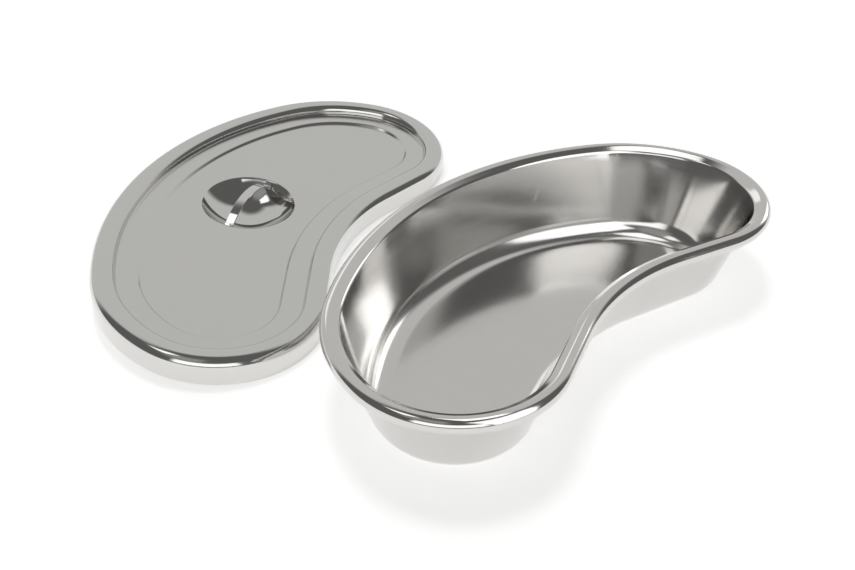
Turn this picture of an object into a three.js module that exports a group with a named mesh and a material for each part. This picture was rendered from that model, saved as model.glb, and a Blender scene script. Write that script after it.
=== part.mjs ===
import * as THREE from 'three';

// Kidney dish with its lid, pressed from stainless steel sheet. Millimetres, +Z up.
// The dish stands at the origin, its length along X and its convex back towards +Y.
// The lid lies behind it, right side up, tipped onto the bottom of its finger recess.

const SHEET = 0.8;
const HALF_SHEET = SHEET / 2;

// A kidney outline: a back arc, a shoulder, a round lobe, a straight flank and a notch arc.
// back is how far the middle of the back arc lies from the X axis; sweeps are in degrees.
const RIM_OUTLINE = {
  back: 65.7,
  backRadius: 165,
  backSweep: 34.4,
  shoulderRadius: 74,
  shoulderSweep: 44.5,
  lobeRadius: 47,
  lobeSweep: 120.7,
  flank: 28.5,
};
const BASE_OUTLINE = {
  back: 49,
  backRadius: 135.5,
  backSweep: 41,
  shoulderRadius: 47.5,
  shoulderSweep: 31,
  lobeRadius: 32,
  lobeSweep: 124.5,
  flank: 40,
};
const OUTLINE_STEPS = { back: 4, shoulder: 6, lobe: 14, flank: 2, notch: 4 };

// The dish's rim: a sloping wall, a narrow flange and a bead rolled outwards and under.
const RIM_TOP = 44;
const BEAD_RADIUS = 3.5;
const FLANGE_HEIGHT = 42;
const FLANGE_INSET = 7.6;
const FLANGE_CORNER = 1.5;
const FLOOR_FILLET = 12;
const BEAD_START = 128;
const BEAD_TURN = 285;

// The lid: a skirt, a half-round bead that covers the rim, a band and a sunken panel.
const LID_CLEARANCE = 1.3;
const LID_HEIGHT = 12.4;
const LID_BEAD_WIDTH = 10.8;
const LID_BEAD_CORNER = 4.4;
const LID_BEAD_INNER_CORNER = 3.3;
const BAND_HEIGHT = 8;
const BAND_FOOT_FILLET = 1;
const BAND_END = 20.6;
const PANEL_START = 22;
const PANEL_HEIGHT = 6.7;
const STEP_FILLET = 0.9;

// The finger recess, a part of a sphere behind the middle of the lid, and its strap handle.
const RECESS_CENTRE_Y = 8;
const RECESS_RADIUS = 23.6;
const RECESS_DEPTH = 12.8;
const RECESS_LIP = 1.2;
const STRAP_WIDTH = 4.6;
const STRAP_THICKNESS = 1;
const STRAP_CREST = 5.4;
const STRAP_FOOT_RADIUS = 20.6;
const STRAP_TAB = 2.8;
const STRAP_GAP = 0.3;
const STRAP_BEND = 1.2;

// Where the lid lies beside the dish, and how far it is turned.
const LID_PLACE = new THREE.Vector2(-30.6, 149.4);
const LID_TURN = 21.6;

const STEEL = { color: 0xb9b7b3, metalness: 1 };

const radians = THREE.MathUtils.degToRad;

// Half an outline as points with outward normals, from the middle of the back to the notch.
function halfOutline(shape) {
  const stations = [];
  const place = new THREE.Vector2(0, shape.back);
  let heading = 0;
  const record = (point, angle) => {
    stations.push({ point, normal: new THREE.Vector2(-Math.sin(angle), Math.cos(angle)) });
  };
  const arc = (radius, sweep, side, steps) => {
    const normal = new THREE.Vector2(-Math.sin(heading), Math.cos(heading));
    const centre = place.clone().addScaledVector(normal, -side * radius);
    for (let i = 1; i <= steps; i += 1) {
      const angle = heading - side * radians(sweep) * i / steps;
      const spoke = new THREE.Vector2(-Math.sin(angle), Math.cos(angle));
      record(centre.clone().addScaledVector(spoke, side * radius), angle);
    }
    heading -= side * radians(sweep);
    place.copy(stations.at(-1).point);
  };
  record(place.clone(), heading);
  arc(shape.backRadius, shape.backSweep, 1, OUTLINE_STEPS.back);
  arc(shape.shoulderRadius, shape.shoulderSweep, 1, OUTLINE_STEPS.shoulder);
  arc(shape.lobeRadius, shape.lobeSweep, 1, OUTLINE_STEPS.lobe);
  const along = new THREE.Vector2(Math.cos(heading), Math.sin(heading));
  for (let i = 1; i <= OUTLINE_STEPS.flank; i += 1) {
    record(place.clone().addScaledVector(along, shape.flank * i / OUTLINE_STEPS.flank), heading);
  }
  place.addScaledVector(along, shape.flank);
  const notchSweep = shape.backSweep + shape.shoulderSweep + shape.lobeSweep - 180;
  const notchRadius = place.x / Math.sin(radians(notchSweep));
  arc(notchRadius, notchSweep, -1, OUTLINE_STEPS.notch);
  return stations;
}

// The whole outline, anticlockwise seen from above.
function kidneyOutline(shape) {
  const right = halfOutline(shape);
  const mirror = (v) => new THREE.Vector2(-v.x, v.y);
  const left = right.slice(1, -1).map(({ point, normal }) => (
    { point: mirror(point), normal: mirror(normal) }
  ));
  return [...left, ...right.toReversed()];
}

function offsetPoint(station, offset) {
  return station.point.clone().addScaledVector(station.normal, offset);
}

// A path through corner points [x, z, radius], each corner rounded to its radius.
function roundedPath(corners, steps) {
  const points = corners.map(([x, z]) => new THREE.Vector2(x, z));
  return points.flatMap((corner, i) => {
    const radius = corners[i][2];
    if (!radius) return [corner];
    const before = points[i - 1].clone().sub(corner).normalize();
    const after = points[i + 1].clone().sub(corner).normalize();
    const halfAngle = Math.acos(before.dot(after)) / 2;
    const middle = before.clone().add(after).normalize();
    const centre = middle.multiplyScalar(radius / Math.sin(halfAngle));
    const start = before.multiplyScalar(radius / Math.tan(halfAngle)).sub(centre);
    const end = after.multiplyScalar(radius / Math.tan(halfAngle)).sub(centre);
    const turn = Math.atan2(start.cross(end), start.dot(end));
    return Array.from({ length: steps + 1 }, (_, k) => (
      start.clone().rotateAround(new THREE.Vector2(), turn * k / steps).add(centre).add(corner)
    ));
  });
}

// The two faces of a sheet whose middle runs along a path: left side out, then right side back.
function thicken(path, halfThickness) {
  const normals = path.map((point, i) => {
    const before = path[Math.max(i - 1, 0)];
    const after = path[Math.min(i + 1, path.length - 1)];
    const ahead = after.clone().sub(point).normalize();
    const behind = point.clone().sub(before).normalize();
    const along = ahead.add(behind).normalize();
    return new THREE.Vector2(-along.y, along.x);
  });
  const side = (distance) => path.map((point, i) => point.clone().addScaledVector(normals[i], distance));
  return { left: side(halfThickness), right: side(-halfThickness) };
}

// A closed mesh from rings of equal length; a ring of one point is a pole, and the first and
// last rings are closed by a pole or by a flat face.
function ringMesh(rings) {
  const positions = [];
  const indices = [];
  const starts = rings.map((ring) => {
    const start = positions.length / 3;
    ring.forEach((v) => positions.push(v.x, v.y, v.z));
    return start;
  });
  for (let r = 0; r + 1 < rings.length; r += 1) {
    const count = Math.max(rings[r].length, rings[r + 1].length);
    for (let i = 0; i < count; i += 1) {
      const next = (i + 1) % count;
      const a = starts[r] + (rings[r].length > 1 ? i : 0);
      const b = starts[r] + (rings[r].length > 1 ? next : 0);
      const c = starts[r + 1] + (rings[r + 1].length > 1 ? i : 0);
      const d = starts[r + 1] + (rings[r + 1].length > 1 ? next : 0);
      if (a !== b) indices.push(a, c, b);
      if (c !== d) indices.push(b, c, d);
    }
  }
  const cap = (ring, start, upwards) => {
    if (ring.length === 1) return;
    const outline = ring.map((v) => new THREE.Vector2(v.x, v.y));
    THREE.ShapeUtils.triangulateShape(outline, []).forEach(([a, b, c]) => {
      const face = upwards ? [a, b, c] : [a, c, b];
      indices.push(...face.map((corner) => start + corner));
    });
  };
  cap(rings[0], starts[0], true);
  cap(rings.at(-1), starts.at(-1), false);
  const geometry = new THREE.BufferGeometry();
  geometry.setAttribute('position', new THREE.Float32BufferAttribute(positions, 3));
  geometry.setIndex(indices);
  geometry.computeVertexNormals();
  return geometry;
}

function steelMesh(name, geometry, roughness) {
  const mesh = new THREE.Mesh(geometry, new THREE.MeshStandardMaterial({ ...STEEL, roughness }));
  mesh.name = name;
  return mesh;
}

// The middle of the dish's sheet in section, as distances out from the flange's inner corner.
function dishSection(wallRun) {
  const beadMiddle = BEAD_RADIUS - HALF_SHEET;
  const bead = new THREE.Vector2(FLANGE_INSET - BEAD_RADIUS, RIM_TOP - BEAD_RADIUS);
  const beadPoint = (degrees) => (
    new THREE.Vector2(Math.cos(radians(degrees)), Math.sin(radians(degrees)))
      .multiplyScalar(beadMiddle).add(bead)
  );
  const beadSteps = 9;
  const start = beadPoint(BEAD_START);
  const wall = roundedPath([
    [-wallRun - FLOOR_FILLET, HALF_SHEET, 0],
    [-wallRun, HALF_SHEET, FLOOR_FILLET - HALF_SHEET],
    [0, FLANGE_HEIGHT - HALF_SHEET, FLANGE_CORNER],
    [start.x, start.y, 0],
  ], 4);
  const roll = Array.from({ length: beadSteps }, (_, i) => (
    beadPoint(BEAD_START - BEAD_TURN * (i + 1) / beadSteps)
  ));
  return [...wall, ...roll];
}

function dish() {
  const rim = kidneyOutline(RIM_OUTLINE);
  const base = kidneyOutline(BASE_OUTLINE);
  const sections = rim.map((station, i) => {
    const corner = offsetPoint(station, -FLANGE_INSET);
    const wallWay = corner.clone().sub(base[i].point);
    const wallRun = wallWay.dot(base[i].normal);
    const planPoint = (x) => {
      if (x > 0) return offsetPoint(station, x - FLANGE_INSET);
      if (x < -wallRun) return offsetPoint(base[i], x + wallRun);
      return corner.clone().addScaledVector(wallWay, x / wallRun);
    };
    const { left, right } = thicken(dishSection(wallRun), HALF_SHEET);
    return [...left.slice(1), ...right.slice(1).toReversed()].map(({ x, y }) => {
      const plan = planPoint(x);
      return new THREE.Vector3(plan.x, plan.y, y);
    });
  });
  const rings = sections[0].map((_, r) => sections.map((section) => section[r]));
  return steelMesh('dish', ringMesh(rings), 0.3);
}

// The middle of the recess's sphere lies over it, at this height above the panel.
const SPHERE_RADIUS = (RECESS_RADIUS ** 2 + RECESS_DEPTH ** 2) / (2 * RECESS_DEPTH);
const SPHERE_RISE = SPHERE_RADIUS - RECESS_DEPTH;

// The lid's edge in section, from the panel's edge to the bottom of the skirt.
function lidEdgeSection() {
  const top = LID_HEIGHT - HALF_SHEET;
  const band = BAND_HEIGHT - HALF_SHEET;
  const panel = PANEL_HEIGHT - HALF_SHEET;
  return roundedPath([
    [-PANEL_START - 2 * STEP_FILLET, panel, 0],
    [-PANEL_START, panel, STEP_FILLET],
    [-BAND_END, band, STEP_FILLET],
    [-LID_BEAD_WIDTH, band, BAND_FOOT_FILLET],
    [-LID_BEAD_WIDTH, top, LID_BEAD_INNER_CORNER],
    [-HALF_SHEET, top, LID_BEAD_CORNER],
    [-HALF_SHEET, 0, 0],
  ], 3);
}

// The recess in section, from just beside its pole to its lip, as distances from its middle.
function recessSection() {
  const radius = SPHERE_RADIUS + HALF_SHEET;
  const lipAngle = Math.asin(RECESS_RADIUS / SPHERE_RADIUS) - RECESS_LIP / SPHERE_RADIUS;
  const bowlSteps = 5;
  const bowl = Array.from({ length: bowlSteps }, (_, i) => {
    const angle = lipAngle * (i + 1) / bowlSteps;
    const height = PANEL_HEIGHT + SPHERE_RISE - radius * Math.cos(angle);
    return new THREE.Vector2(radius * Math.sin(angle), height);
  });
  return [...bowl, new THREE.Vector2(RECESS_RADIUS + RECESS_LIP, PANEL_HEIGHT - HALF_SHEET)];
}

function lid() {
  const outline = kidneyOutline(RIM_OUTLINE);
  const edge = thicken(lidEdgeSection(), HALF_SHEET);
  const bowl = thicken(recessSection(), HALF_SHEET);
  const panelEdge = outline.map((station) => offsetPoint(station, LID_CLEARANCE - PANEL_START));
  const spokes = panelEdge.map(({ x, y }) => new THREE.Vector2(x, y - RECESS_CENTRE_Y).normalize());
  const bowlRing = ({ x, y }) => spokes.map((spoke) => (
    new THREE.Vector3(spoke.x * x, RECESS_CENTRE_Y + spoke.y * x, y)
  ));
  const edgeRing = ({ x, y }) => outline.map((station) => {
    const plan = offsetPoint(station, LID_CLEARANCE + x);
    return new THREE.Vector3(plan.x, plan.y, y);
  });
  const pole = (depth) => [new THREE.Vector3(0, RECESS_CENTRE_Y, PANEL_HEIGHT - depth)];
  const rings = [
    pole(RECESS_DEPTH),
    ...bowl.left.map(bowlRing),
    ...edge.left.slice(1).map(edgeRing),
    ...edge.right.slice(1).toReversed().map(edgeRing),
    ...bowl.right.toReversed().map(bowlRing),
    pole(RECESS_DEPTH + SHEET),
  ];
  return steelMesh('lid', ringMesh(rings), 0.25);
}

// A strip bent along an arch over the recess, with a short tab turned up each wall.
function strapHandle() {
  const wallRadius = SPHERE_RADIUS - STRAP_GAP - STRAP_THICKNESS / 2;
  const onWall = (angle) => new THREE.Vector2(
    wallRadius * Math.sin(angle),
    PANEL_HEIGHT + SPHERE_RISE - wallRadius * Math.cos(angle),
  );
  const footAngle = Math.asin(STRAP_FOOT_RADIUS / wallRadius);
  const foot = onWall(footAngle);
  const tabEnd = onWall(footAngle + STRAP_TAB / wallRadius);
  const crest = PANEL_HEIGHT + STRAP_CREST;
  const rise = crest - foot.y;
  const archRadius = (foot.x ** 2 + rise ** 2) / (2 * rise);
  const archAngle = Math.asin(foot.x / archRadius);
  const archSteps = 12;
  const arch = Array.from({ length: archSteps + 1 }, (_, i) => {
    const angle = archAngle * (1 - 2 * i / archSteps);
    return new THREE.Vector2(archRadius * Math.sin(angle), crest - archRadius * (1 - Math.cos(angle)));
  });
  const corners = [
    [tabEnd.x, tabEnd.y, 0],
    ...arch.map(({ x, y }, i) => [x, y, i % archSteps === 0 ? STRAP_BEND : 0]),
    [-tabEnd.x, tabEnd.y, 0],
  ];
  const { left, right } = thicken(roundedPath(corners, 3), STRAP_THICKNESS / 2);
  const strip = new THREE.Shape([...left, ...right.toReversed()]);
  const geometry = new THREE.ExtrudeGeometry(strip, { depth: STRAP_WIDTH, bevelEnabled: false });
  geometry.rotateX(Math.PI / 2);
  geometry.translate(0, RECESS_CENTRE_Y + STRAP_WIDTH / 2, 0);
  return steelMesh('strap_handle', geometry, 0.2);
}

// The lid tips about the line under its two lobes until the recess touches the table.
function tippedLid() {
  const lowest = Math.min(...kidneyOutline(RIM_OUTLINE).map(({ point }) => point.y));
  const lobeLine = lowest - LID_CLEARANCE;
  const reach = RECESS_CENTRE_Y - lobeLine;
  const height = PANEL_HEIGHT + SPHERE_RISE;
  const slope = Math.asin((SPHERE_RADIUS + SHEET) / Math.hypot(reach, height));
  const tip = slope - Math.atan2(height, reach);
  const pieces = new THREE.Group();
  pieces.add(lid(), strapHandle());
  pieces.position.y = -lobeLine;
  const tipped = new THREE.Group();
  tipped.add(pieces);
  tipped.position.y = lobeLine;
  tipped.rotation.x = tip;
  const placed = new THREE.Group();
  placed.add(tipped);
  placed.position.set(LID_PLACE.x, LID_PLACE.y, 0);
  placed.rotation.z = radians(LID_TURN);
  return placed;
}

const group = new THREE.Group();
group.add(dish(), tippedLid());

export default group;
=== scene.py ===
"""Kidney dish and its lid in stainless steel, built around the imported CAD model."""

import math

import bmesh
import bpy
from mathutils import Matrix, Vector


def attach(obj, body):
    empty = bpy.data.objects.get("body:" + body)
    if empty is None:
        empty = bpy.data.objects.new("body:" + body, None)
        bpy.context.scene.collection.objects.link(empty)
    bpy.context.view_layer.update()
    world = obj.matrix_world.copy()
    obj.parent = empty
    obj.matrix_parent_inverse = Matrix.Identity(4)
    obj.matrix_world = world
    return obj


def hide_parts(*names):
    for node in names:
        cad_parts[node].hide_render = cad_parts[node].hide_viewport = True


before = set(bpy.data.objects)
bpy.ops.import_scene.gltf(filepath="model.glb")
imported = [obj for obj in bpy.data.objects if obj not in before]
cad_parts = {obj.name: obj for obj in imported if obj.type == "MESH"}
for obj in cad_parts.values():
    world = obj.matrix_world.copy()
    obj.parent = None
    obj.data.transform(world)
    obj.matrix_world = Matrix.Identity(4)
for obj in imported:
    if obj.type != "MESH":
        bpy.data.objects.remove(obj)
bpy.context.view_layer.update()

# Sizes are in millimetres, as in the CAD source, and become metres when a mesh is made.
MM = 0.001

SHEET = 0.8
HALF_SHEET = SHEET / 2

# A kidney outline: a back arc, a shoulder, a round lobe, a straight flank and a notch arc.
# back is how far the middle of the back arc lies from the X axis; sweeps are in degrees.
RIM_OUTLINE = {
    "back": 65.7,
    "back_radius": 165,
    "back_sweep": 34.4,
    "shoulder_radius": 74,
    "shoulder_sweep": 44.5,
    "lobe_radius": 47,
    "lobe_sweep": 120.7,
    "flank": 28.5,
}
BASE_OUTLINE = {
    "back": 49,
    "back_radius": 135.5,
    "back_sweep": 41,
    "shoulder_radius": 47.5,
    "shoulder_sweep": 31,
    "lobe_radius": 32,
    "lobe_sweep": 124.5,
    "flank": 40,
}
OUTLINE_STEPS = {"back": 20, "shoulder": 22, "lobe": 56, "flank": 12, "notch": 22}
CORNER_STEPS = 10
WALL_STEPS = 8
LONGEST_STEP = 5

# The dish's rim: a sloping wall, a narrow flange and a bead rolled outwards and under.
RIM_TOP = 44
BEAD_RADIUS = 3.5
BEAD_START = 128
BEAD_TURN = 285
BEAD_STEPS = 44
FLANGE_HEIGHT = 42
FLANGE_INSET = 7.6
FLANGE_CORNER = 1.5
FLOOR_FILLET = 12

# The lid: a skirt, a half-round bead that covers the rim, a band and a sunken panel.
LID_CLEARANCE = 1.3
LID_HEIGHT = 12.4
LID_BEAD_WIDTH = 10.8
LID_BEAD_CORNER = 4.4
LID_BEAD_INNER_CORNER = 3.3
BAND_HEIGHT = 8
BAND_FOOT_FILLET = 1
BAND_END = 20.6
PANEL_START = 22
PANEL_HEIGHT = 6.7
STEP_FILLET = 0.9

# The finger recess, a part of a sphere, and the strap handle over it.
RECESS_CENTRE_Y = 8
RECESS_RADIUS = 23.6
RECESS_DEPTH = 12.8
RECESS_LIP = 1.2
RECESS_STEPS = 28
RECESS_POLE = 0.5
SPHERE_RADIUS = (RECESS_RADIUS**2 + RECESS_DEPTH**2) / (2 * RECESS_DEPTH)
SPHERE_RISE = SPHERE_RADIUS - RECESS_DEPTH
STRAP_WIDTH = 4.6
STRAP_THICKNESS = 1
STRAP_CREST = 5.4
STRAP_FOOT_RADIUS = 20.6
STRAP_TAB = 2.8
STRAP_GAP = 0.3
STRAP_BEND = 1.2
STRAP_EDGE = 0.28
STRAP_END_CORNER = 1.1
STRAP_EDGE_STEPS = 4
ARCH_STEPS = 60

# How far a surface is polished; the steel's roughness follows it, and a mirror goes past polished.
SATIN = 0
POLISHED = 1
MIRROR = 1.6

# Edges that turn by more than this many degrees stay crisp.
SHARP_ANGLE = 50

# Where the lid lies beside the dish, and how far it is turned, in degrees.
LID_PLACE = (-30.6, 149.4)
LID_TURN = 21.6


# ---------------------------------------------------------------- outlines and sections


def normal_at(angle):
    return Vector((-math.sin(angle), math.cos(angle)))


def half_outline(shape):
    """Stations (point, outward normal) from the middle of the back to the middle of the notch."""
    stations = [(Vector((0, shape["back"])), normal_at(0))]
    heading = 0.0

    def add_arc(radius, sweep, side, steps):
        nonlocal heading
        centre = stations[-1][0] - side * radius * normal_at(heading)
        for i in range(1, steps + 1):
            angle = heading - side * math.radians(sweep) * i / steps
            stations.append((centre + side * radius * normal_at(angle), normal_at(angle)))
        heading -= side * math.radians(sweep)

    for part in ("back", "shoulder", "lobe"):
        add_arc(shape[f"{part}_radius"], shape[f"{part}_sweep"], 1, OUTLINE_STEPS[part])
    start = stations[-1][0]
    along = Vector((math.cos(heading), math.sin(heading)))
    for i in range(1, OUTLINE_STEPS["flank"] + 1):
        step = along * shape["flank"] * i / OUTLINE_STEPS["flank"]
        stations.append((start + step, normal_at(heading)))
    notch_sweep = shape["back_sweep"] + shape["shoulder_sweep"] + shape["lobe_sweep"] - 180
    notch_radius = stations[-1][0].x / math.sin(math.radians(notch_sweep))
    add_arc(notch_radius, notch_sweep, -1, OUTLINE_STEPS["notch"])
    return stations


def kidney_outline(shape):
    """The whole outline, anticlockwise seen from above."""
    right = half_outline(shape)
    left = [
        (Vector((-point.x, point.y)), Vector((-normal.x, normal.y)))
        for point, normal in right[1:-1]
    ]
    return left + right[::-1]


def rounded_path(corners):
    """A path through corners (x, z, radius), each rounded to its radius."""
    places = [Vector(corner[:2]) for corner in corners]
    path = []
    for i, (_, _, radius) in enumerate(corners):
        if not radius:
            path.append(places[i])
            continue
        before = (places[i - 1] - places[i]).normalized()
        after = (places[i + 1] - places[i]).normalized()
        half_angle = before.angle(after) / 2
        centre = (before + after).normalized() * radius / math.sin(half_angle)
        start = before * radius / math.tan(half_angle) - centre
        end = after * radius / math.tan(half_angle) - centre
        turn = math.atan2(start.x * end.y - start.y * end.x, start.dot(end))
        for k in range(CORNER_STEPS + 1):
            spoke = Matrix.Rotation(turn * k / CORNER_STEPS, 2) @ start
            path.append(places[i] + centre + spoke)
    return path


def evenly_spaced(path):
    """The same path with its long straight stretches cut into short steps."""
    spaced = [path[0]]
    for before, after in zip(path, path[1:]):
        steps = math.ceil((after - before).length / LONGEST_STEP)
        spaced += [before.lerp(after, i / steps) for i in range(1, steps + 1)]
    return spaced


def path_normals(path):
    """The direction to the left of the path at each of its points."""
    normals = []
    for i, point in enumerate(path):
        ahead = path[min(i + 1, len(path) - 1)] - point
        behind = point - path[max(i - 1, 0)]
        along = (ahead.normalized() + behind.normalized()).normalized()
        normals.append(Vector((-along.y, along.x)))
    return normals


def sheet_section(path):
    """Both faces of the sheet in section: the left face going out, then the right face back."""
    normals = path_normals(path)
    left = [point + HALF_SHEET * normal for point, normal in zip(path, normals)]
    right = [point - HALF_SHEET * normal for point, normal in zip(path, normals)]
    return left, right


def dish_section(wall_run):
    """The middle of the dish's sheet, as distances out from the flange's inner corner."""
    bead_middle = BEAD_RADIUS - HALF_SHEET
    bead_centre = Vector((FLANGE_INSET - BEAD_RADIUS, RIM_TOP - BEAD_RADIUS))

    def bead_point(degrees):
        angle = math.radians(degrees)
        return bead_centre + bead_middle * Vector((math.cos(angle), math.sin(angle)))

    start = bead_point(BEAD_START)
    wall = rounded_path(
        [
            (-wall_run - FLOOR_FILLET, HALF_SHEET, 0),
            (-wall_run, HALF_SHEET, FLOOR_FILLET - HALF_SHEET),
            (0, FLANGE_HEIGHT - HALF_SHEET, FLANGE_CORNER),
            (start.x, start.y, 0),
        ]
    )
    roll = [bead_point(BEAD_START - BEAD_TURN * i / BEAD_STEPS) for i in range(1, BEAD_STEPS + 1)]
    return wall, roll


def lid_edge_section():
    """The middle of the lid's sheet, from the panel's edge to the bottom of the skirt."""
    top = LID_HEIGHT - HALF_SHEET
    band = BAND_HEIGHT - HALF_SHEET
    panel = PANEL_HEIGHT - HALF_SHEET
    return rounded_path(
        [
            (-PANEL_START - 2 * STEP_FILLET, panel, 0),
            (-PANEL_START, panel, STEP_FILLET),
            (-BAND_END, band, STEP_FILLET),
            (-LID_BEAD_WIDTH, band, BAND_FOOT_FILLET),
            (-LID_BEAD_WIDTH, top, LID_BEAD_INNER_CORNER),
            (-HALF_SHEET, top, LID_BEAD_CORNER),
            (-HALF_SHEET, 0, 0),
        ]
    )


def recess_section():
    """The middle of the recess's sheet, from beside its bottom to its lip."""
    radius = SPHERE_RADIUS + HALF_SHEET
    pole_angle = RECESS_POLE / radius
    wall_end = math.asin(RECESS_RADIUS / SPHERE_RADIUS) - RECESS_LIP / SPHERE_RADIUS

    def on_sphere(angle):
        height = PANEL_HEIGHT + SPHERE_RISE - radius * math.cos(angle)
        return Vector((radius * math.sin(angle), height))

    bowl = [
        on_sphere(pole_angle + (wall_end - pole_angle) * i / RECESS_STEPS)
        for i in range(RECESS_STEPS)
    ]
    lip_start = on_sphere(wall_end)
    lip_height = PANEL_HEIGHT - HALF_SHEET
    reach = (lip_height - lip_start.y) / math.tan(wall_end)
    lip = rounded_path(
        [
            (lip_start.x, lip_start.y, 0),
            (lip_start.x + reach, lip_height, RECESS_LIP),
            (RECESS_RADIUS + 2 * RECESS_LIP, lip_height, 0),
        ]
    )
    return bowl + lip


# ---------------------------------------------------------------- meshes


def ring_mesh(name, rings, polish):
    """A closed mesh from rings of equal length, with a flat face at both ends.

    polish holds a value for each ring: SATIN, POLISHED or MIRROR.
    The UV map runs along the rings in U and across them in V, in metres.
    """
    count = len(rings[0])
    vertices = [MM * point for ring in rings for point in ring]
    quads = []
    for r in range(len(rings) - 1):
        here = r * count
        beyond = here + count
        for i in range(count):
            after = (i + 1) % count
            quads.append((here + i, here + after, beyond + after, beyond + i))
    first = tuple(range(count))[::-1]
    last = tuple((len(rings) - 1) * count + i for i in range(count))
    mesh = bpy.data.meshes.new(name)
    mesh.from_pydata(vertices, [], [*quads, first, last])
    around = running_lengths([ring_centre(rings, i) for i in range(count)] + [ring_centre(rings, 0)])
    across = running_lengths([ring[0] for ring in rings])
    uv = mesh.uv_layers.new(name="UVMap")
    for face in mesh.polygons:
        is_cap = face.index >= len(quads)
        last_column = not is_cap and face.index % count == count - 1
        for loop, vertex in zip(face.loop_indices, face.vertices):
            ring, i = divmod(vertex, count)
            if is_cap:
                uv.data[loop].uv = vertices[vertex][:2]
            else:
                column = count if last_column and i == 0 else i
                uv.data[loop].uv = (MM * around[column], MM * across[ring])
    values = mesh.attributes.new("polish", "FLOAT", "POINT")
    values.data.foreach_set("value", [value for value in polish for _ in range(count)])
    face_outwards(mesh)
    mesh.shade_smooth()
    mesh.set_sharp_from_angle(angle=math.radians(SHARP_ANGLE))
    piece = bpy.data.objects.new(name, mesh)
    bpy.context.scene.collection.objects.link(piece)
    weighted = piece.modifiers.new("weighted_normals", "WEIGHTED_NORMAL")
    weighted.keep_sharp = True
    return piece


def face_outwards(mesh):
    """Turn every face round when the rings ran so that the closed mesh came out inside out."""
    closed = bmesh.new()
    closed.from_mesh(mesh)
    if closed.calc_volume(signed=True) < 0:
        mesh.flip_normals()
    closed.free()


def ring_centre(rings, column):
    """The place of one column in the widest ring, which sets the UV map's scale."""
    return max((ring[column] for ring in rings), key=lambda point: point.xy.length)


def running_lengths(points):
    lengths = [0.0]
    for before, after in zip(points, points[1:]):
        lengths.append(lengths[-1] + (after - before).length)
    return lengths


def lifted(plan, height):
    return Vector((plan.x, plan.y, height))


def dish_piece():
    """The basin: across the flange, down the wall's slope, then square to the base outline."""
    rim = kidney_outline(RIM_OUTLINE)
    base = kidney_outline(BASE_OUTLINE)
    columns = []
    for (rim_point, normal), (base_point, base_normal) in zip(rim, base):
        corner = rim_point - FLANGE_INSET * normal
        wall_run = (corner - base_point).dot(base_normal)
        wall, roll = dish_section(wall_run)
        left, right = sheet_section(wall_steps(wall) + roll)
        section = left + right[::-1]
        column = []
        for point in section:
            if point.x > 0:
                plan = corner + normal * point.x
            elif point.x < -wall_run:
                plan = base_point + base_normal * (point.x + wall_run)
            else:
                plan = corner + (corner - base_point) * point.x / wall_run
            column.append(lifted(plan, point.y))
        columns.append(column)
    rings = [[column[r] for column in columns] for r in range(len(columns[0]))]
    polish = [POLISHED if point.x > -FLANGE_CORNER else SATIN for point in section]
    return ring_mesh("dish_shell", rings, polish)


def wall_steps(wall):
    """The wall's path with its one long straight stretch cut into the same steps all round."""
    bottom = CORNER_STEPS + 1
    top = bottom + 1
    steps = [wall[bottom].lerp(wall[top], i / WALL_STEPS) for i in range(1, WALL_STEPS)]
    return wall[: bottom + 1] + steps + wall[top:]


def lid_piece():
    outline = kidney_outline(RIM_OUTLINE)
    edge_left, edge_right = sheet_section(evenly_spaced(lid_edge_section()))
    bowl_left, bowl_right = sheet_section(recess_section())
    centre = Vector((0, RECESS_CENTRE_Y))
    spokes = [
        (point + (LID_CLEARANCE - PANEL_START) * normal - centre).normalized()
        for point, normal in outline
    ]

    def bowl_ring(place):
        return [lifted(centre + place.x * spoke, place.y) for spoke in spokes]

    def edge_ring(place):
        return [lifted(point + (LID_CLEARANCE + place.x) * normal, place.y) for point, normal in outline]

    def bowl_polish(place):
        return MIRROR if place.x < RECESS_RADIUS else SATIN

    def edge_polish(place):
        return POLISHED if place.x > -LID_BEAD_WIDTH - BAND_FOOT_FILLET else SATIN

    rings = [bowl_ring(place) for place in bowl_left]
    rings += [edge_ring(place) for place in edge_left + edge_right[::-1]]
    rings += [bowl_ring(place) for place in bowl_right[::-1]]
    polish = [bowl_polish(place) for place in bowl_left]
    polish += [edge_polish(place) for place in edge_left + edge_right[::-1]]
    polish += [bowl_polish(place) for place in bowl_right[::-1]]
    return ring_mesh("lid_shell", rings, polish)


def strap_path():
    """The middle of the strap in section, from the end of one tab to the end of the other."""
    wall_radius = SPHERE_RADIUS - STRAP_GAP - STRAP_THICKNESS / 2

    def on_wall(angle):
        height = PANEL_HEIGHT + SPHERE_RISE - wall_radius * math.cos(angle)
        return Vector((wall_radius * math.sin(angle), height))

    foot_angle = math.asin(STRAP_FOOT_RADIUS / wall_radius)
    foot = on_wall(foot_angle)
    tab_end = on_wall(foot_angle + STRAP_TAB / wall_radius)
    crest = PANEL_HEIGHT + STRAP_CREST
    rise = crest - foot.y
    arch_radius = (foot.x**2 + rise**2) / (2 * rise)
    arch_angle = math.asin(foot.x / arch_radius)
    corners = [(tab_end.x, tab_end.y, 0), (foot.x, foot.y, STRAP_BEND)]
    for i in range(2, ARCH_STEPS - 1):
        angle = arch_angle * (1 - 2 * i / ARCH_STEPS)
        corners.append((arch_radius * math.sin(angle), crest - arch_radius * (1 - math.cos(angle)), 0))
    corners += [(-foot.x, foot.y, STRAP_BEND), (-tab_end.x, tab_end.y, 0)]
    return evenly_spaced(rounded_path(corners))


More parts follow.
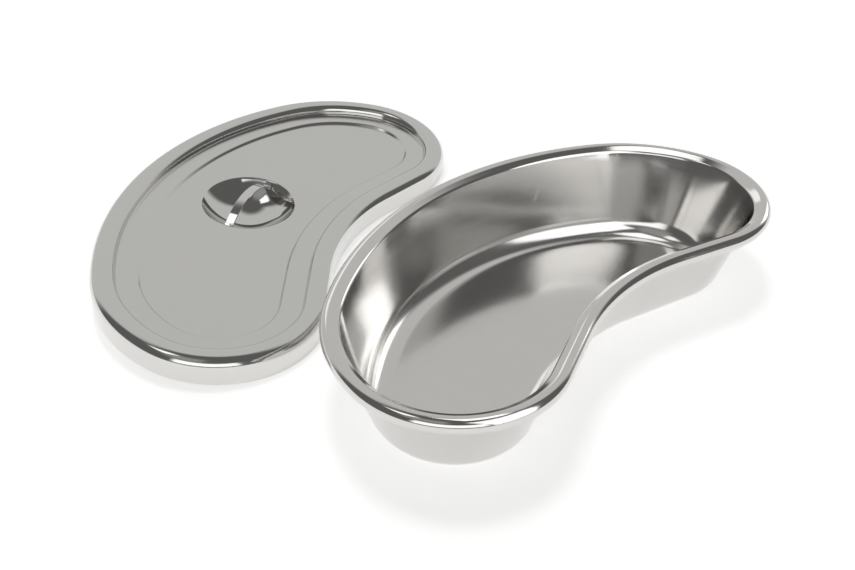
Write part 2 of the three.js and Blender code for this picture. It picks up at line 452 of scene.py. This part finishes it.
def strap_piece():
    """A strip with rounded edges and rounded tab ends, bent along the arch."""
    path = strap_path()
    normals = path_normals(path)
    lengths = running_lengths(path)
    rings = []
    for point, normal, length in zip(path, normals, lengths):
        to_end = min(length, lengths[-1] - length)
        past_corner = max(STRAP_END_CORNER - to_end, 0)
        narrowing = STRAP_END_CORNER - math.sqrt(STRAP_END_CORNER**2 - past_corner**2)
        half_width = STRAP_WIDTH / 2 - narrowing
        rings.append([
            Vector((point.x + normal.x * up, RECESS_CENTRE_Y + side, point.y + normal.y * up))
            for side, up in strap_section(half_width)
        ])
    return ring_mesh("strap", rings, [POLISHED] * len(rings))


def strap_section(half_width):
    """The strip's outline in cross section: (across, up) places with four rounded corners."""
    section = []
    for turn in range(4):
        x_sign = 1 if turn in (0, 3) else -1
        y_sign = 1 if turn in (0, 1) else -1
        for k in range(STRAP_EDGE_STEPS + 1):
            angle = math.radians(90 * (turn + k / STRAP_EDGE_STEPS))
            section.append((
                x_sign * (half_width - STRAP_EDGE) + STRAP_EDGE * math.cos(angle),
                y_sign * (STRAP_THICKNESS / 2 - STRAP_EDGE) + STRAP_EDGE * math.sin(angle),
            ))
    return section


def lid_matrix():
    """From the lid's own frame to the row's: tipped onto its recess, turned and put in its place."""
    lobe_line = min(point.y for point, _ in kidney_outline(RIM_OUTLINE)) - LID_CLEARANCE
    reach = RECESS_CENTRE_Y - lobe_line
    height = PANEL_HEIGHT + SPHERE_RISE
    slope = math.asin((SPHERE_RADIUS + SHEET) / math.hypot(reach, height))
    tip = slope - math.atan2(height, reach)
    to_line = Matrix.Translation((0, -lobe_line * MM, 0))
    from_line = Matrix.Translation((0, lobe_line * MM, 0))
    tipped = from_line @ Matrix.Rotation(tip, 4, "X") @ to_line
    place = Matrix.Translation((LID_PLACE[0] * MM, LID_PLACE[1] * MM, 0))
    return place @ Matrix.Rotation(math.radians(LID_TURN), 4, "Z") @ tipped


# ---------------------------------------------------------------- steel


def add_node(tree, kind, inputs=None, **settings):
    """A node with its settings, and its inputs linked to sockets or set to values."""
    node = tree.nodes.new(kind)
    for name, value in settings.items():
        setattr(node, name, value)
    for name, value in (inputs or {}).items():
        if isinstance(value, bpy.types.NodeSocket):
            tree.links.new(value, node.inputs[name])
        else:
            node.inputs[name].default_value = value
    return node


def scaled(tree, coordinates, scale, turn=0.0):
    node = add_node(tree, "ShaderNodeMapping", {"Vector": coordinates})
    node.inputs["Scale"].default_value = scale
    node.inputs["Rotation"].default_value = (0, 0, turn)
    return node.outputs["Vector"]


def noise(tree, vector, scale, detail=2.0, roughness=0.5):
    inputs = {"Vector": vector, "Scale": scale, "Detail": detail, "Roughness": roughness}
    return add_node(tree, "ShaderNodeTexNoise", inputs).outputs["Fac"]


def remap(tree, value, low, high, to_low, to_high, clamp=True):
    inputs = {"Value": value, "From Min": low, "From Max": high, "To Min": to_low, "To Max": to_high}
    return add_node(tree, "ShaderNodeMapRange", inputs, clamp=clamp).outputs["Result"]


def calculate(tree, operation, a, b):
    node = add_node(tree, "ShaderNodeMath", operation=operation)
    for socket, value in zip(node.inputs, (a, b)):
        if isinstance(value, bpy.types.NodeSocket):
            tree.links.new(value, socket)
        else:
            socket.default_value = value
    return node.outputs["Value"]


# Scales are in features per metre, across U, V and W for the UV map and along X, Y, Z in space.
BRUSH_SCALE = (14, 1100, 1)
STREAK_SCALE = (160, 12, 1)
SMUDGE_SCALE = 34.0
UNEVEN_SCALE = 17.0
HAIRLINE_TURNS = (0.35, 1.3, 2.4)
HAIRLINE_LENGTHS = (9, 13, 17)
HAIRLINE_THINNESS = (700, 60)
HAIRLINE_START = 0.83
HAIRLINE_FULL = 0.86

# How much each mark changes the roughness, the least roughness, and the streaks' change of tone.
BRUSH_ROUGHNESS = (-0.015, 0.015)
SMUDGE_ROUGHNESS = (-0.01, 0.025)
HAIRLINE_ROUGHNESS = 0.06
LEAST_ROUGHNESS = 0.03
STREAK_TONE = 0.015
BRUSH_LOST_BY_POLISH = 0.8

FINISHES = {
    "dish_steel": {
        "colour": (0.68, 0.67, 0.655),
        "satin": 0.14,
        "polished": 0.1,
        "grain": 1e-7,
        "waviness": 5e-5,
    },
    "lid_steel": {
        "colour": (0.68, 0.675, 0.66),
        "satin": 0.17,
        "polished": 0.1,
        "grain": 4e-7,
        "waviness": 2e-5,
    },
    "handle_steel": {
        "colour": (0.72, 0.71, 0.7),
        "satin": 0.1,
        "polished": 0.06,
        "grain": 3e-7,
        "waviness": 1e-5,
    },
}


def steel(name, colour, satin, polished, grain, waviness):
    """Stainless steel whose roughness goes from satin to polished with the mesh's polish.

    grain and waviness are bump distances in metres: the brushed lines and the pressed sheet's
    slow unevenness.
    """
    material = bpy.data.materials.new(name)
    material.use_nodes = True
    tree = material.node_tree
    shader = tree.nodes["Principled BSDF"]
    shader.inputs["Metallic"].default_value = 1.0
    coordinates = tree.nodes.new("ShaderNodeTexCoord")
    along_uv = coordinates.outputs["UV"]
    in_space = coordinates.outputs["Object"]
    polish = add_node(tree, "ShaderNodeAttribute", attribute_name="polish").outputs["Fac"]

    brushed = noise(tree, scaled(tree, along_uv, BRUSH_SCALE), 1.0, detail=1.0)
    streaks = noise(tree, scaled(tree, along_uv, STREAK_SCALE), 1.0, detail=2.0)
    smudges = noise(tree, in_space, SMUDGE_SCALE, detail=4.0, roughness=0.6)
    unevenness = noise(tree, in_space, UNEVEN_SCALE, detail=1.0)
    scratches = hairlines(tree, in_space)

    roughness = remap(tree, polish, 0, 1, satin, polished, clamp=False)
    brushed_change = remap(tree, brushed, 0.3, 0.7, *BRUSH_ROUGHNESS)
    roughness = calculate(tree, "ADD", roughness, brushed_change)
    smudged_change = remap(tree, smudges, 0.35, 0.7, *SMUDGE_ROUGHNESS)
    roughness = calculate(tree, "ADD", roughness, smudged_change)
    scratched_change = calculate(tree, "MULTIPLY", scratches, HAIRLINE_ROUGHNESS)
    roughness = calculate(tree, "ADD", roughness, scratched_change)
    roughness = calculate(tree, "MAXIMUM", roughness, LEAST_ROUGHNESS)
    tree.links.new(roughness, shader.inputs["Roughness"])

    tone = add_node(tree, "ShaderNodeMix", {"Factor": streaks}, data_type="RGBA")
    tone.inputs["A"].default_value = (*[(1 - STREAK_TONE) * channel for channel in colour], 1)
    tone.inputs["B"].default_value = (*[(1 + STREAK_TONE) * channel for channel in colour], 1)
    tree.links.new(tone.outputs["Result"], shader.inputs["Base Color"])

    slow = add_node(tree, "ShaderNodeBump", {"Height": unevenness, "Distance": waviness})
    lost = calculate(tree, "MULTIPLY", polish, BRUSH_LOST_BY_POLISH)
    satin_share = calculate(tree, "SUBTRACT", 1.0, lost)
    lines = calculate(tree, "MULTIPLY", brushed, satin_share)
    fine = add_node(tree, "ShaderNodeBump", {"Height": lines, "Distance": grain})
    tree.links.new(slow.outputs["Normal"], fine.inputs["Normal"])
    marks = add_node(tree, "ShaderNodeBump", {"Height": scratches, "Distance": -grain})
    tree.links.new(fine.outputs["Normal"], marks.inputs["Normal"])
    tree.links.new(marks.outputs["Normal"], shader.inputs["Normal"])
    return material


def hairlines(tree, coordinates):
    """Thin scratches in three directions, 1 on a scratch and 0 between them."""
    total = 0.0
    for turn, length in zip(HAIRLINE_TURNS, HAIRLINE_LENGTHS):
        stretched = scaled(tree, coordinates, (length, *HAIRLINE_THINNESS), turn)
        line = noise(tree, stretched, 1.0, detail=0.0)
        mark = remap(tree, line, HAIRLINE_START, HAIRLINE_FULL, 0, 1)
        total = calculate(tree, "ADD", mark, total)
    return calculate(tree, "MINIMUM", total, 1.0)


def give(piece, material):
    piece.data.materials.append(material)


# ---------------------------------------------------------------- the pieces on their bodies


def build_dish():
    piece = dish_piece()
    give(piece, steel("dish_steel", **FINISHES["dish_steel"]))
    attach(piece, "dish")
    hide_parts("dish")
    return piece


def build_lid():
    piece = lid_piece()
    piece.data.transform(lid_matrix())
    give(piece, steel("lid_steel", **FINISHES["lid_steel"]))
    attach(piece, "lid")
    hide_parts("lid")


def build_strap():
    piece = strap_piece()
    piece.data.transform(lid_matrix())
    give(piece, steel("handle_steel", **FINISHES["handle_steel"]))
    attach(piece, "lid")
    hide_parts("strap_handle")


# ---------------------------------------------------------------- studio


STUDIO_MIDDLE = Vector((0, 0.06, 0))
FLOOR_SIZE = 8
FLOOR_DROP = 0.0002
FLOOR_WHITE = 0.95
FLOOR_GLOW = 0.5
ROOM_BRIGHTNESS = 0.13
ROOM_PANELS = (
    ((-70, 60), (-10, 64), 8, 0.65),
    ((150, 214), (8, 38), 3, 1.5),
    ((-124, -92), (57, 73), 2, 1.5),
    ((-175, -128), (44, 75), 8, 0.35),
)

# Each softbox that lights only the dish: azimuth, elevation, distance, size and brightness.
DISH_SOFTBOXES = {
    "right_box": (132, 34, 0.9, (0.62, 1.0), 1.5),
    "top_box": (60, 80, 0.9, (0.35, 0.3), 1.5),
    "back_box": (-19, 31, 1.2, (0.55, 0.26), 0.6),
    "low_box": (52, 21, 1.0, (0.3, 0.22), 2.0),
}
KEY_LIGHT = (-60, 85, 1.3, (0.3, 0.3), 11.0)

CAMERA_AIM = Vector((-0.01039, 0.05354, 0))
CAMERA_PLAN = Vector((0.7559, 0.6547)).normalized()
CAMERA_PITCH = 35.11
CAMERA_ROLL = 1.55
CAMERA_DISTANCE = 0.5117
CAMERA_LENS = 44.97
CAMERA_SENSOR = 36


def camera():
    data = bpy.data.cameras.new("camera")
    data.lens = CAMERA_LENS
    data.sensor_width = CAMERA_SENSOR
    data.clip_start = 0.01
    data.clip_end = 50
    pitch = math.radians(CAMERA_PITCH)
    ahead = Vector((*(CAMERA_PLAN * math.cos(pitch)), -math.sin(pitch)))
    place = CAMERA_AIM - CAMERA_DISTANCE * ahead
    turn = ahead.to_track_quat("-Z", "Y").to_matrix().to_4x4()
    roll = Matrix.Rotation(math.radians(CAMERA_ROLL), 4, "Z")
    eye = bpy.data.objects.new("camera", data)
    eye.matrix_world = Matrix.Translation(place) @ turn @ roll
    bpy.context.scene.collection.objects.link(eye)
    bpy.context.scene.camera = eye


def direction(azimuth, elevation):
    """Towards a place in the studio. Azimuth 0 is ahead of the camera, 90 to its right."""
    turn = math.radians(azimuth)
    rise = math.radians(elevation)
    ahead = Vector((*CAMERA_PLAN, 0))
    right = Vector((CAMERA_PLAN.y, -CAMERA_PLAN.x, 0))
    level = ahead * math.cos(turn) + right * math.sin(turn)
    return level * math.cos(rise) + Vector((0, 0, math.sin(rise)))


def softbox(name, azimuth, elevation, distance, size, brightness, lights=None):
    """A rectangular soft light that faces the objects; lights names the pieces it falls on."""
    way = direction(azimuth, elevation)
    data = bpy.data.lights.new(name, "AREA")
    data.shape = "RECTANGLE"
    data.size, data.size_y = size
    data.energy = brightness * size[0] * size[1] * math.pi
    lamp = bpy.data.objects.new(name, data)
    lamp.location = STUDIO_MIDDLE + distance * way
    lamp.rotation_euler = (-way).to_track_quat("-Z", "Y").to_euler()
    bpy.context.scene.collection.objects.link(lamp)
    if lights:
        receivers = bpy.data.collections.new(name + "_receivers")
        for piece in lights:
            receivers.objects.link(piece)
        lamp.light_linking.receiver_collection = receivers
    return lamp


def window(tree, value, low, high, softness):
    """1 where the value lies between low and high, falling smoothly to 0 over the softness."""
    rise = add_node(
        tree,
        "ShaderNodeMapRange",
        {"Value": value, "From Min": low - softness, "From Max": low + softness},
        interpolation_type="SMOOTHSTEP",
    )
    fall = add_node(
        tree,
        "ShaderNodeMapRange",
        {"Value": value, "From Min": high - softness, "From Max": high + softness},
        interpolation_type="SMOOTHSTEP",
    )
    drop = calculate(tree, "SUBTRACT", 1.0, fall.outputs["Result"])
    return calculate(tree, "MULTIPLY", rise.outputs["Result"], drop)


def studio_world():
    """A dim room with pale panels round it, each (azimuths, elevations, softness, brightness)."""
    world = bpy.data.worlds.new("room")
    world.use_nodes = True
    tree = world.node_tree
    way = tree.nodes.new("ShaderNodeTexCoord").outputs["Generated"]
    axes = add_node(tree, "ShaderNodeSeparateXYZ", {"Vector": way})
    elevation = calculate(tree, "ARCSINE", axes.outputs["Z"], 0.0)
    ahead = math.atan2(CAMERA_PLAN.y, CAMERA_PLAN.x)
    level = ROOM_BRIGHTNESS
    for azimuths, elevations, softness, brightness in ROOM_PANELS:
        middle = math.radians(sum(azimuths) / 2)
        turned = add_node(tree, "ShaderNodeVectorRotate", {"Vector": way}, rotation_type="Z_AXIS")
        turned.inputs["Angle"].default_value = middle - ahead
        local = add_node(tree, "ShaderNodeSeparateXYZ", {"Vector": turned.outputs["Vector"]})
        azimuth = calculate(tree, "ARCTAN2", local.outputs["Y"], local.outputs["X"])
        half_width = math.radians(azimuths[1] - azimuths[0]) / 2
        soft = math.radians(softness)
        across = window(tree, azimuth, -half_width, half_width, soft)
        up = window(tree, elevation, math.radians(elevations[0]), math.radians(elevations[1]), soft)
        share = calculate(tree, "MULTIPLY", across, up)
        excess = calculate(tree, "MULTIPLY", share, brightness - ROOM_BRIGHTNESS)
        level = calculate(tree, "ADD", excess, level)
    background = tree.nodes["Background"]
    background.inputs["Color"].default_value = (1, 1, 0.985, 1)
    tree.links.new(level, background.inputs["Strength"])
    bpy.context.scene.world = world


def floor():
    mesh = bpy.data.meshes.new("floor")
    half = FLOOR_SIZE / 2
    mesh.from_pydata(
        [(-half, -half, 0), (half, -half, 0), (half, half, 0), (-half, half, 0)],
        [],
        [(0, 1, 2, 3)],
    )
    slab = bpy.data.objects.new("floor", mesh)
    slab.location.z = -FLOOR_DROP
    bpy.context.scene.collection.objects.link(slab)
    material = bpy.data.materials.new("floor_white")
    material.use_nodes = True
    shader = material.node_tree.nodes["Principled BSDF"]
    shader.inputs["Base Color"].default_value = (FLOOR_WHITE, FLOOR_WHITE, FLOOR_WHITE, 1)
    shader.inputs["Roughness"].default_value = 0.9
    shader.inputs["Specular IOR Level"].default_value = 0.1
    shader.inputs["Emission Color"].default_value = (1, 1, 1, 1)
    shader.inputs["Emission Strength"].default_value = FLOOR_GLOW
    give(slab, material)


def studio(dish):
    """The room, the floor and the lights. The key only makes the floor's shadow, not a highlight."""
    bpy.context.scene.view_settings.view_transform = "Standard"
    studio_world()
    floor()
    for name, placing in DISH_SOFTBOXES.items():
        softbox(name, *placing, lights=[dish])
    key = softbox("key", *KEY_LIGHT)
    key.visible_glossy = False


camera()
dish = build_dish()
build_lid()
build_strap()
studio(dish)
